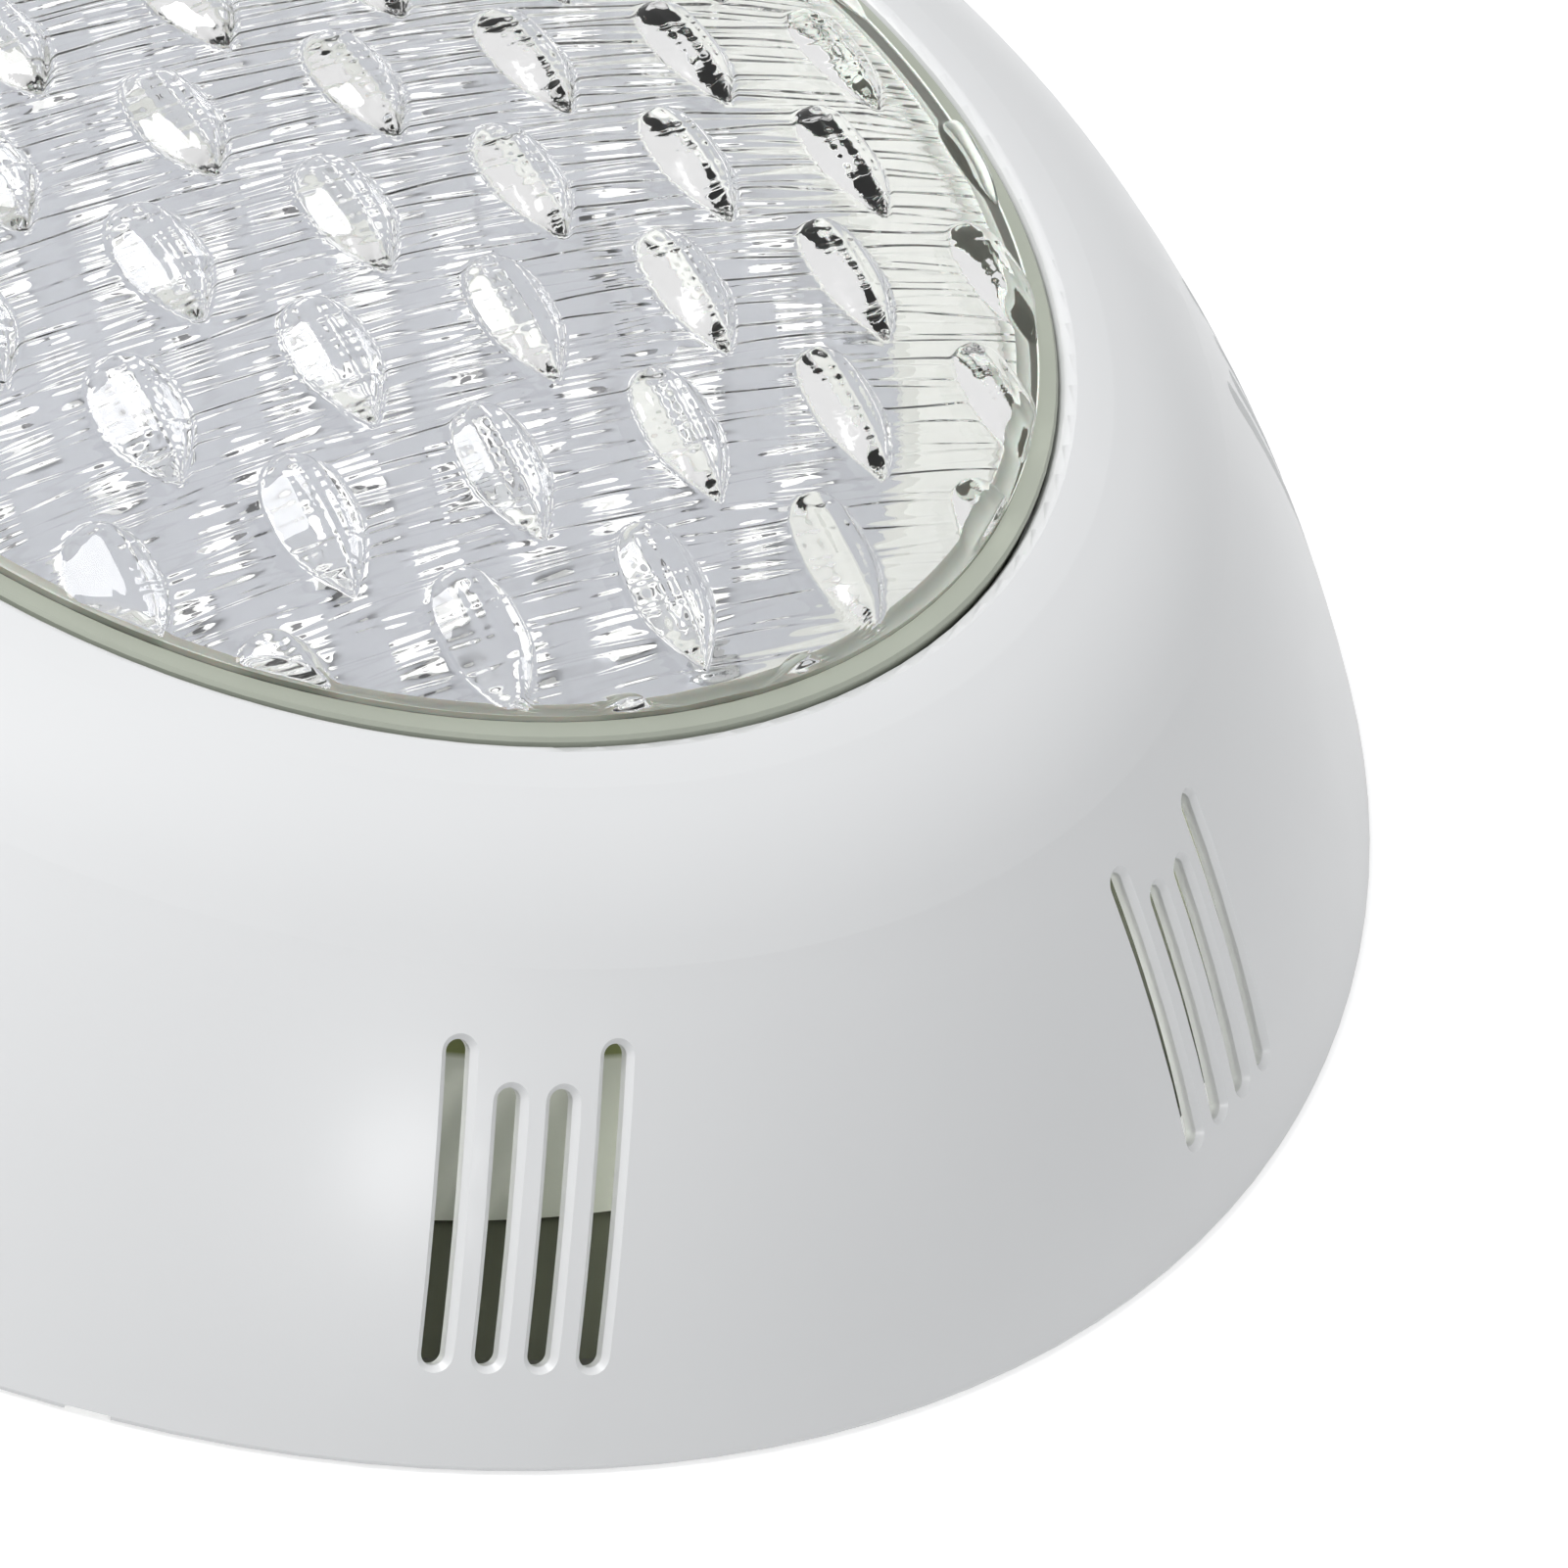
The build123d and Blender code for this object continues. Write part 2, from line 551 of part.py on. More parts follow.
def lumps():
    """Round ended prismatic lumps lying across the rows, trimmed at the lens's edge."""
    barrel = Rot(90, 0, 0) * Cylinder(LUMP_RADIUS, LUMP_LENGTH - 2 * LUMP_RADIUS)
    end = Sphere(LUMP_RADIUS)
    half = LUMP_LENGTH / 2 - LUMP_RADIUS
    shape = barrel + Pos(0, half, 0) * end + Pos(0, -half, 0) * end
    room = disc(LENS_RADIUS, LENS_FLANGE_TOP, 100) + disc(LUMP_TRIM_RADIUS, GASKET_TOP + 0.1, 100)
    solids = []
    for x, y in lump_spots():
        height = lens_height(math.hypot(x, y)) + LUMP_RISE - LUMP_RADIUS
        solids.append((Pos(x, y, height) * Rot(0, 0, LUMP_ROW_ANGLE) * shape) & room)
    return solids


def lens():
    """Clear domed lens with a flange at its foot and lumps on its face."""
    dome = disc(LENS_RADIUS, LENS_FOOT, 100) & dome_ball()
    flange = disc(LENS_FLANGE_RADIUS, LENS_FOOT, LENS_FLANGE_TOP)
    hollow = disc(LENS_RADIUS - LENS_WALL, 0, 100) & dome_ball(LENS_WALL)
    return dome + flange + lumps() - hollow


def lens_gasket():
    """Silicone gasket wrapped round the lens's flange, with a shelf under the ring."""
    top_inner = LENS_RADIUS + 0.1
    groove = LENS_FLANGE_RADIUS + 0.05
    shelf_top = BOWL_RIM_TOP + GASKET_SHELF
    gasket = turned([
        (GASKET_INNER, BOWL_RIM_TOP), (BOWL_RIM_RADIUS, BOWL_RIM_TOP), (BOWL_RIM_RADIUS, shelf_top),
        (GASKET_RADIUS, shelf_top), (GASKET_RADIUS, GASKET_TOP - 0.4), (GASKET_RADIUS - 0.4, GASKET_TOP),
        (top_inner, GASKET_TOP), (top_inner, LENS_FLANGE_TOP), (groove, LENS_FLANGE_TOP),
        (groove, LENS_FOOT), (GASKET_INNER, LENS_FOOT),
    ])
    hole = disc(RING_SCREW_RADIUS + 0.3, BOWL_RIM_TOP - 1, shelf_top + 1)
    return gasket - spread(hole, RING_SCREW_CIRCLE, RING_SCREW_COUNT, RING_SCREW_ANGLE)


def lens_ring():
    """Stainless ring that presses the gasket's shelf on to the bowl's rim."""
    bottom = BOWL_RIM_TOP + GASKET_SHELF
    ring = tube(BOWL_RIM_RADIUS - 0.2, GASKET_RADIUS + 0.2, bottom, bottom + RING_THICKNESS)
    hole = disc(RING_SCREW_RADIUS + 0.3, bottom - 1, bottom + RING_THICKNESS + 1)
    return ring - spread(hole, RING_SCREW_CIRCLE, RING_SCREW_COUNT, RING_SCREW_ANGLE)


def ring_screws():
    """Screws through the ring and gasket into the bowl's rim."""
    seat = BOWL_RIM_TOP + GASKET_SHELF + RING_THICKNESS
    screw = Pos(0, 0, seat) * pan_screw(2.3, 1.2, RING_SCREW_RADIUS, seat - BOWL_RIM_TOP + 4)
    return group(spread(screw, RING_SCREW_CIRCLE, RING_SCREW_COUNT, RING_SCREW_ANGLE))


# ---------------------------------------------------------------- light engine
def wire_spots():
    """Places where the two leads pass through the spreader and the board."""
    return [(WIRE_SPOT[0], WIRE_SPOT[1]), (WIRE_SPOT[0], -WIRE_SPOT[1])]


def spreader():
    """Aluminium plate that takes the heat of the board."""
    top = BOARD_TOP - BOARD_THICKNESS
    plate = disc(SPREADER_RADIUS, top - SPREADER_THICKNESS, top)
    return cut_board_holes(plate)


def led_board():
    """Round board that carries the light sources."""
    return cut_board_holes(disc(BOARD_RADIUS, BOARD_TOP - BOARD_THICKNESS, BOARD_TOP))


def cut_board_holes(plate):
    """Screw holes and lead holes shared by the board and the spreader."""
    hole = disc(BOARD_SCREW_RADIUS + 0.2, 0, 60)
    plate = plate - spread(hole, BOARD_SCREW_CIRCLE, BOARD_SCREW_COUNT, 0)
    lead_hole = disc(WIRE_HOLE_RADIUS, 0, 60)
    return plate - [Pos(x, y, 0) * lead_hole for x, y in wire_spots()]


def led():
    """Surface mounted light source: square frame with a shallow well."""
    body = Box(LED_SIDE, LED_SIDE, LED_HEIGHT, align=BOTTOM)
    well = Pos(0, 0, LED_HEIGHT - 0.5) * Cone(LED_SIDE * 0.36, LED_SIDE * 0.42, 0.6, align=BOTTOM)
    return Pos(0, 0, BOARD_TOP) * (body - well)


def leds():
    """Rings of light sources, clear of the lead holes."""
    solids = []
    for ring in range(LED_RINGS):
        radius = LED_RING_FIRST + LED_RING_STEP * ring
        count = LEDS_IN_FIRST_RING * (ring + 1)
        for place, solid in enumerate(spread(led(), radius, count, 360.0 / count / 2)):
            angle = math.radians(360.0 * (place + 0.5) / count)
            spot = (radius * math.cos(angle), radius * math.sin(angle))
            if all(math.dist(spot, hole) > LED_SIDE + WIRE_HOLE_RADIUS for hole in wire_spots()):
                solids.append(solid)
    return group(solids)


def board_screws():
    """Screws that hold board and spreader to the bowl's posts."""
    screw = Pos(0, 0, BOARD_TOP) * pan_screw(2.9, 1.8, BOARD_SCREW_RADIUS, 11)
    return group(spread(screw, BOARD_SCREW_CIRCLE, BOARD_SCREW_COUNT, 0))


def reflector():
    """Pale cone between the board and the lens that throws the light forward."""
    foot, head, top = BOARD_RADIUS + 0.2, GASKET_INNER - 2.4, LENS_FOOT - RUN_GAP
    wall = 1.2
    cone = turned([
        (foot - 2, BOARD_TOP), (foot + wall, BOARD_TOP), (head + wall, top), (head, top),
        (foot, BOARD_TOP + wall), (foot - 2, BOARD_TOP + wall),
    ])
    room = disc(3.3, 0, 60)
    return cone - spread(room, BOARD_SCREW_CIRCLE, BOARD_SCREW_COUNT, 0)


# ---------------------------------------------------------------- driver
def driver_board():
    """Ring shaped board of the low voltage driver."""
    board = tube(DRIVER_RADIUS, DRIVER_HOLE_RADIUS, DRIVER_BOTTOM, DRIVER_TOP)
    hole = disc(DRIVER_SCREW_RADIUS + 0.2, 0, 60)
    return board - spread(hole, DRIVER_SCREW_CIRCLE, 4, 45)


def driver_screws():
    """Screws that hold the driver board to its posts."""
    screw = Pos(0, 0, DRIVER_TOP) * pan_screw(2.4, 1.5, DRIVER_SCREW_RADIUS, 4.5)
    return group(spread(screw, DRIVER_SCREW_CIRCLE, 4, 45))


def capacitors():
    """Electrolytic capacitors standing on the driver board."""
    can = disc(4.0, DRIVER_TOP, DRIVER_TOP + 6.6)
    can = fillet(can.edges().sort_by(Axis.Z)[-1:], 0.5)
    cross = Pos(0, 0, DRIVER_TOP + 6.4) * Box(5, 0.3, 1) + Pos(0, 0, DRIVER_TOP + 6.4) * Box(0.3, 5, 1)
    can = can - cross
    return group(Pos(x, y, 0) * can for x, y in ((-30, 10), (-30, -1), (-30, -12)))


def inductor():
    """Wound ring core on the driver board."""
    core = Pos(0, 30, DRIVER_TOP + 3.2) * Torus(6.0, 2.2)
    foot = Pos(0, 30, DRIVER_TOP) * Cylinder(6.0, 1.6, align=BOTTOM)
    return core + foot


def chips():
    """Rectifier and regulator packages on the driver board."""
    rectifier = Pos(0, -28, DRIVER_TOP) * Box(9, 7, 3, align=BOTTOM)
    regulator = Pos(-20, -30, DRIVER_TOP) * Box(5, 6, 1.8, align=BOTTOM)
    controller = Pos(20, 28, DRIVER_TOP) * Box(5, 4, 1.6, align=BOTTOM)
    packages = []
    for package in (rectifier, regulator, controller):
        top_edges = package.edges().group_by(Axis.Z)[-1]
        packages.append(chamfer(top_edges, 0.35))
    return group(packages)


def terminal_block():
    """Four way screw terminal that takes the supply and the two leads."""
    bottom, top = DRIVER_TOP, DRIVER_TOP + 6.8
    body = Pos(TERMINAL_X, 0, bottom) * Box(8, TERMINAL_PITCH * 4, top - bottom, align=BOTTOM)
    holes = []
    for y in terminal_rows():
        holes.append(Pos(TERMINAL_X, y, top - 2.4) * Cylinder(1.7, 4, align=BOTTOM))
        holes.append(Pos(TERMINAL_X, y, bottom + 2.2) * Rot(0, 90, 0) * Cylinder(1.0, 12))
    return body - holes


def terminal_rows():
    """Positions of the terminal's ways."""
    return [(place - 1.5) * TERMINAL_PITCH for place in range(4)]


def terminal_screws():
    """Clamping screws of the terminal block."""
    screw = pan_screw(1.6, 1.2, 0.9, 0.9)
    height = DRIVER_TOP + 6.8 - 1.5
    return group(Pos(TERMINAL_X, y, height) * screw for y in terminal_rows())


def leads():
    """Two insulated leads from the terminal up through the board to its solder pads."""
    height = DRIVER_TOP + 2.2
    solids = []
    for x, y in wire_spots():
        run = Line((TERMINAL_X + 2.5, y, height), (x - LEAD_BEND, y, height))
        bend = TangentArc(run @ 1, (x, y, height + LEAD_BEND), tangent=run % 1)
        rise = Line(bend @ 1, (x, y, BOARD_TOP + 0.9))
        outline = Plane(origin=run @ 0, z_dir=run % 0) * Circle(WIRE_RADIUS)
        solids.append(sweep(outline, path=Wire([run, bend, rise])))
    return group(solids)


# ---------------------------------------------------------------- gland
def gland_body():
    """Gland through the bowl's floor, its threaded stub pointing at the wall."""
    stub = disc(GLAND_STUB_RADIUS, GLAND_STUB_BOTTOM, GLAND_COLLAR_BOTTOM + 0.5)
    collar = prism(GLAND_COLLAR_FLATS, GLAND_COLLAR_BOTTOM, GLAND_COLLAR_TOP)
    collar = chamfer(collar.edges().filter_by(GeomType.LINE).group_by(Axis.Z)[0], 0.6)
    shank = disc(GLAND_SHANK_RADIUS, GLAND_COLLAR_TOP - 0.5, GLAND_SHANK_TOP)
    bore = disc(GLAND_BORE, 0, GLAND_SHANK_TOP + 1)
    seat = disc(SEAL_RADIUS + 0.05, 0, SEAL_TOP)
    return stub + collar + shank - bore - seat


def gland_washer():
    """Rubber washer between the gland's collar and the bowl."""
    return tube(GLAND_COLLAR_FLATS / 2 - 0.3, GLAND_SHANK_RADIUS + 0.1, GLAND_COLLAR_TOP, BOWL_FLOOR)


def gland_seal():
    """Rubber sleeve that grips the cable inside the gland."""
    return tube(SEAL_RADIUS, CABLE_HOLE_RADIUS, GLAND_STUB_BOTTOM, SEAL_TOP)


def gland_locknut():
    """Nut on the gland's shank inside the bowl."""
    bottom = BOWL_FLOOR + BOWL_WALL
    nut = prism(GLAND_COLLAR_FLATS, bottom, bottom + 3.6)
    return nut - disc(GLAND_SHANK_RADIUS + 0.05, 0, 60)


def gland_nut():
    """Ribbed cap nut that squeezes the seal; it turns on the gland's stub."""
    corner = GLAND_NUT_FLATS / 2
    nut = disc(corner, NUT_BOTTOM, NUT_TOP)
    nut = chamfer(nut.edges().sort_by(Axis.Z)[:1], 0.8)
    groove = Pos(corner + 0.5, 0, NUT_BOTTOM - 1) * Cylinder(1.1, NUT_TOP - NUT_BOTTOM, align=BOTTOM)
    nut = nut - [Rot(0, 0, 360.0 * place / NUT_GROOVES) * groove for place in range(NUT_GROOVES)]
    nut = nut - disc(GLAND_STUB_RADIUS + HINGE_GAP, NUT_BOTTOM + NUT_END_WALL, NUT_TOP + 1)
    return nut - disc(CABLE_MOUTH_RADIUS, 0, NUT_TOP)


# ---------------------------------------------------------------- nodes
def nodes():
    """Every node of the light by name."""
    parts = {
        "wall_bracket": wall_bracket(),
        "carrier_housing": carrier(),
        "front_cover": front_cover(),
        "lamp_bowl": lamp_bowl(),
        "lens": lens(),
        "lens_gasket": lens_gasket(),
        "lens_clamp_ring": lens_ring(),
        "clamp_ring_screws": ring_screws(),
        "reflector_cone": reflector(),
        "led_board": led_board(),
        "led_chips": leds(),
        "led_board_screws": board_screws(),
        "heat_spreader": spreader(),
        "driver_board": driver_board(),
        "driver_board_screws": driver_screws(),
        "driver_capacitors": capacitors(),
        "driver_inductor": inductor(),
        "driver_chips": chips(),
        "terminal_block": terminal_block(),
        "terminal_screws": terminal_screws(),
        "board_leads": leads(),
        "clip_screws": clip_screws(),
        "gland_body": gland_body(),
        "gland_washer": gland_washer(),
        "gland_seal": gland_seal(),
        "gland_locknut": gland_locknut(),
        "gland_nut": gland_nut(),
    }
    for place in range(CLIP_COUNT):
        angle = CLIP_FIRST_ANGLE + 360.0 * place / CLIP_COUNT
        parts[f"swing_clip_{place + 1}"] = clip(angle)
    return parts


os.makedirs("parts", exist_ok=True)
for node_name, node_shape in nodes().items():
    export_step(node_shape, f"parts/{node_name}.step")
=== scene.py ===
import math

import bpy
import numpy as np
from mathutils import Matrix, Vector


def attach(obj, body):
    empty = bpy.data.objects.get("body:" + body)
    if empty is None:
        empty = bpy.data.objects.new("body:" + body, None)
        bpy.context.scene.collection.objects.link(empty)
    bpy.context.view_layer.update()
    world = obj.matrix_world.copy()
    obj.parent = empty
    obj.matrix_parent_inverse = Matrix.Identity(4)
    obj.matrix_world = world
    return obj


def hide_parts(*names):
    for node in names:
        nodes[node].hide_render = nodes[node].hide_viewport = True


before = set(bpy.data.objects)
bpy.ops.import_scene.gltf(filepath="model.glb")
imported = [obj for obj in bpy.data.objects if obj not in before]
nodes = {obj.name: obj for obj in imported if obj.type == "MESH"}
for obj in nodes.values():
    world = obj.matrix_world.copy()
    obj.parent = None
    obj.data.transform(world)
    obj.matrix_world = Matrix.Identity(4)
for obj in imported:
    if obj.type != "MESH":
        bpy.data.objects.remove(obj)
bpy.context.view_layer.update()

MM = 0.001

# ---------------------------------------------------------------- lens sizes, as in the CAD
DOME_RADIUS = 85.0
SPHERE_RADIUS = 262.0
DOME_EDGE_HEIGHT = 52.8
LENS_WALL = 3.2
FLANGE_RADIUS = 86.2
FLANGE_TOP = 50.0
LENS_FOOT = 46.9
NECK_RADIUS = DOME_RADIUS - LENS_WALL
LUMP_PITCH_ALONG = 24.2
LUMP_PITCH_ACROSS = 18.2
LUMP_ROW_ANGLE = math.radians(17.8)
LUMP_ORIGIN = (-35.7, -49.6)
LUMP_HALF_LENGTH = 8.8
LUMP_HALF_WIDTH = 5.1
LUMP_RISE = 2.5
LUMP_CREST = 0.3              # sideways shift of a lump's crest, as a share of its half width
LUMP_FLAT_SIDE = 1.05         # reach of a lump on its flatter side, in the same share
LUMP_RIDGE = 0.035            # height of the fine ridges along a lump, as a share of its rise
LUMP_RIDGES = 5
FLUTE_PITCH = 1.25
FLUTE_DEPTH = 0.07
FLUTE_BEAT_PITCH = 3.1
FLUTE_BEAT_DEPTH = 0.05
FLUTE_FADE = 0.8              # share of the flutes that is missing under a lump
EDGE_FADE = 0.6               # width over which the lumps run out at the dome's edge
OUTER_ROWS = 480
OUTER_COLUMNS = 340
INNER_ROWS = 1150
INNER_COLUMNS = 200


# ---------------------------------------------------------------- small helpers
def dome_height(radius, drop=0.0):
    """Height of the lens's dome at a radius, drop millimetres below its outer face."""
    centre = DOME_EDGE_HEIGHT - math.sqrt(SPHERE_RADIUS ** 2 - DOME_RADIUS ** 2)
    return centre + np.sqrt((SPHERE_RADIUS - drop) ** 2 - radius ** 2)


def row_axes():
    """Unit vectors along and across the lens's rows."""
    along = np.array([math.cos(LUMP_ROW_ANGLE), math.sin(LUMP_ROW_ANGLE)])
    across = np.array([math.sin(LUMP_ROW_ANGLE), -math.cos(LUMP_ROW_ANGLE)])
    return along, across


def mesh_object(name, vertices, faces, materials, body):
    """New object of the light from arrays in millimetres, riding on a body."""
    mesh = bpy.data.meshes.new(name)
    mesh.from_pydata(np.asarray(vertices) * MM, [], faces)
    mesh.polygons.foreach_set("use_smooth", [True] * len(mesh.polygons))
    for material in materials:
        mesh.materials.append(material)
    mesh.update()
    piece = bpy.data.objects.new(name, mesh)
    bpy.context.scene.collection.objects.link(piece)
    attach(piece, body)
    return piece


# ---------------------------------------------------------------- node helpers
class Shader:
    """Short way to build one node material round a Principled shader."""

    def __init__(self, name, **constants):
        """Starts the material; constants are set on the shader's own sockets."""
        self.material = bpy.data.materials.new(name)
        self.material.use_nodes = True
        self.tree = self.material.node_tree
        self.shader = self.tree.nodes["Principled BSDF"]
        for label, value in constants.items():
            self.shader.inputs[label.replace("_", " ")].default_value = value
        self.place = self.add("ShaderNodeTexCoord").outputs["Object"]

    def add(self, kind, **settings):
        """New node with the given properties."""
        node = self.tree.nodes.new(kind)
        for label, value in settings.items():
            setattr(node, label, value)
        return node

    def link(self, source, target):
        """Joins two sockets and returns the second."""
        self.tree.links.new(source, target)
        return target

    def noise(self, scale, detail=3.0, roughness=0.5, source=None):
        """Value of a noise texture in object space; scale is in features per metre."""
        node = self.add("ShaderNodeTexNoise")
        node.inputs["Scale"].default_value = scale
        node.inputs["Detail"].default_value = detail
        node.inputs["Roughness"].default_value = roughness
        self.link(source or self.place, node.inputs["Vector"])
        return node.outputs["Fac"]

    def ramp(self, value, stops):
        """Colour ramp; stops are (position, colour)."""
        node = self.add("ShaderNodeValToRGB")
        elements = node.color_ramp.elements
        elements[0].position, elements[0].color = stops[0][0], (*stops[0][1], 1)
        elements[1].position, elements[1].color = stops[-1][0], (*stops[-1][1], 1)
        for position, colour in stops[1:-1]:
            elements.new(position).color = (*colour, 1)
        self.link(value, node.inputs["Fac"])
        return node.outputs["Color"]

    def spread(self, value, low, high):
        """Maps 0 to 1 on to low to high."""
        node = self.add("ShaderNodeMapRange")
        node.inputs["To Min"].default_value = low
        node.inputs["To Max"].default_value = high
        self.link(value, node.inputs["Value"])
        return node.outputs["Result"]

    def sum(self, first, second, mode="ADD"):
        """Result of a maths node on two values, each a number or a socket."""
        node = self.add("ShaderNodeMath", operation=mode)
        for socket, value in zip(node.inputs, (first, second)):
            if isinstance(value, (int, float)):
                socket.default_value = value
            else:
                self.link(value, socket)
        return node.outputs["Value"]

    def drift_colour(self, scale, detail, colour, low, high):
        """Colours the shader with a slow drift between a darker and a lighter shade."""
        noise = self.noise(scale, detail)
        self.colour(self.ramp(noise, [(0.3, shade(colour, low)), (0.7, shade(colour, high))]))

    def bump(self, height, distance, strength=1.0):
        """Bump from a height value; distance in metres."""
        node = self.add("ShaderNodeBump")
        node.inputs["Distance"].default_value = distance
        node.inputs["Strength"].default_value = strength
        self.link(height, node.inputs["Height"])
        self.link(node.outputs["Normal"], self.shader.inputs["Normal"])

    def colour(self, source):
        """Feeds the shader's colour."""
        self.link(source, self.shader.inputs["Base Color"])

    def roughness(self, source):
        """Feeds the shader's roughness."""
        self.link(source, self.shader.inputs["Roughness"])


def shade(colour, factor):
    """A colour made lighter or darker."""
    return tuple(min(1.0, channel * factor) for channel in colour)


def moulded(name, colour, rough, grain=2600.0, depth=0.00002, mottle=0.03, gloss=0.5):
    """Injection moulded plastic: fine grain, slow colour drift, uneven gloss."""
    look = Shader(name, Specular_IOR_Level=gloss)
    look.drift_colour(22.0, 4.0, colour, 1 - mottle, 1 + mottle)
    look.roughness(look.spread(look.noise(90.0, 5.0), rough - 0.05, rough + 0.05))
    look.bump(look.noise(grain, 2.0), depth, 0.35)
    return look.material


def metal(name, colour, rough, stretch=(1.0, 1.0, 1.0)):
    """Stainless or aluminium with fine drawn or turned scratches."""
    look = Shader(name, Metallic=1.0)
    mapping = look.add("ShaderNodeMapping")
    mapping.inputs["Scale"].default_value = stretch
    look.link(look.place, mapping.inputs["Vector"])
    scratches = look.noise(1800.0, 4.0, 0.7, mapping.outputs["Vector"])
    look.drift_colour(60.0, 3.0, colour, 0.93, 1.05)
    look.roughness(look.spread(scratches, rough - 0.08, rough + 0.1))
    look.bump(scratches, 0.00001, 0.3)
    return look.material


def cover_plastic():
    """Glossy white ABS of the cover."""
    colour = (0.735, 0.74, 0.745)
    look = Shader("cover_white_abs", Specular_IOR_Level=0.45, Coat_Weight=0.25, Coat_Roughness=0.2)
    look.drift_colour(16.0, 4.0, colour, 0.985, 1.015)
    look.roughness(look.spread(look.noise(70.0, 5.0), 0.33, 0.42))
    texture = look.sum(look.noise(3200.0, 2.0), look.sum(look.noise(120.0, 3.0), 0.6, "MULTIPLY"))
    look.bump(texture, 0.000018, 0.25)
    return look.material


BAND_START = 0.0290           # height in metres where the carrier's olive band sets in
BAND_FULL = 0.0300


def carrier_plastic():
    """Pale housing with a band of olive colour round its upper edge."""
    look = Shader("carrier_pale_abs", Specular_IOR_Level=0.4)
    pale = look.ramp(look.noise(22.0, 4.0), [(0.3, (0.66, 0.675, 0.62)), (0.7, (0.71, 0.725, 0.67))])
    parts = look.add("ShaderNodeSeparateXYZ")
    look.link(look.place, parts.inputs["Vector"])
    band = look.add("ShaderNodeMapRange")
    band.inputs["From Min"].default_value = BAND_START
    band.inputs["From Max"].default_value = BAND_FULL
    look.link(parts.outputs["Z"], band.inputs["Value"])
    mix = look.add("ShaderNodeMix", data_type="RGBA")
    look.link(band.outputs["Result"], mix.inputs["Factor"])
    look.link(pale, mix.inputs[6])
    mix.inputs[7].default_value = (0.20, 0.225, 0.085, 1)
    look.colour(mix.outputs[2])
    look.roughness(look.spread(look.noise(90.0, 5.0), 0.4, 0.5))
    look.bump(look.noise(2600.0, 2.0), 0.00002, 0.35)
    return look.material


def clear_plastic():
    """Clear polycarbonate of the lens."""
    look = Shader(
        "lens_clear_polycarbonate", Transmission_Weight=1.0, IOR=1.5, Roughness=0.0,
        Base_Color=(0.99, 0.99, 0.99, 1),
    )
    look.bump(look.noise(55.0, 3.0), 0.00012, 0.25)
    return look.material


def frosted_edge():
    """Ground side of the lens, pale and faintly green grey."""
    colour = (0.66, 0.68, 0.63)
    look = Shader(
        "lens_frosted_edge", Specular_IOR_Level=0.3, Subsurface_Weight=0.2, Subsurface_Scale=0.003,
    )
    look.drift_colour(120.0, 4.0, colour, 0.93, 1.05)
    look.roughness(look.spread(look.noise(400.0), 0.45, 0.6))
    look.bump(look.noise(2200.0), 0.00003, 0.4)
    return look.material


def silicone():
    """Olive grey silicone of the lens gasket."""
    colour = (0.40, 0.425, 0.36)
    look = Shader("gasket_olive_silicone", Specular_IOR_Level=0.3)
    look.drift_colour(45.0, 4.0, colour, 0.95, 1.05)
    look.roughness(look.spread(look.noise(300.0), 0.5, 0.62))
    look.bump(look.noise(1500.0, 2.0), 0.00003, 0.4)
    return look.material


def board_resist():
    """White solder resist painted grey as painted shade, for the light that the lens and the bowl hold
    back, with faint rings of track under it.
    """
    look = Shader("board_white_resist_painted_shade", Specular_IOR_Level=0.5, Coat_Weight=0.3, Coat_Roughness=0.15)
    # painted shade: the white resist is darkened to grey because the lens casts no shadow on the board
    colour = (0.30, 0.31, 0.335)
    wave = look.add("ShaderNodeTexWave", wave_type="RINGS", rings_direction="Z")
    wave.inputs["Scale"].default_value = 24.2
    wave.inputs["Distortion"].default_value = 0.0
    look.link(look.place, wave.inputs["Vector"])
    tracks = look.ramp(wave.outputs["Fac"], [(0.0, shade(colour, 0.9)), (0.12, colour), (1.0, colour)])
    look.colour(tracks)
    look.roughness(look.spread(look.noise(240.0), 0.3, 0.42))
    look.bump(look.noise(1400.0), 0.00003, 0.3)
    return look.material


def chip_material():
    """Light source: pale resin with rows of small grey dies."""
    look = Shader("chip_frame_and_resin", Specular_IOR_Level=0.5)
    cells = look.add("ShaderNodeTexVoronoi")
    cells.inputs["Scale"].default_value = 360.0
    look.link(look.place, cells.inputs["Vector"])
    pale, dark = (0.80, 0.80, 0.79), (0.12, 0.12, 0.125)
    stops = [(0.0, dark), (0.3, dark), (0.36, pale), (1.0, pale)]
    look.colour(look.ramp(cells.outputs["Distance"], stops))
    look.roughness(look.spread(look.noise(300.0), 0.2, 0.35))
    look.bump(look.noise(900.0), 0.00003, 0.3)
    return look.material


def circuit_board():
    """Green solder resist with lighter tracks."""
    look = Shader("driver_green_resist", Specular_IOR_Level=0.5)
    brick = look.add("ShaderNodeTexBrick")
    brick.inputs["Scale"].default_value = 160.0
    brick.inputs["Color1"].default_value = (0.02, 0.14, 0.06, 1)
    brick.inputs["Color2"].default_value = (0.02, 0.12, 0.05, 1)
    brick.inputs["Mortar"].default_value = (0.05, 0.24, 0.11, 1)
    brick.inputs["Mortar Size"].default_value = 0.03
    look.link(look.place, brick.inputs["Vector"])
    look.colour(brick.outputs["Color"])
    look.roughness(look.spread(look.noise(200.0), 0.3, 0.45))
    look.bump(brick.outputs["Fac"], 0.00004, 0.5)
    return look.material


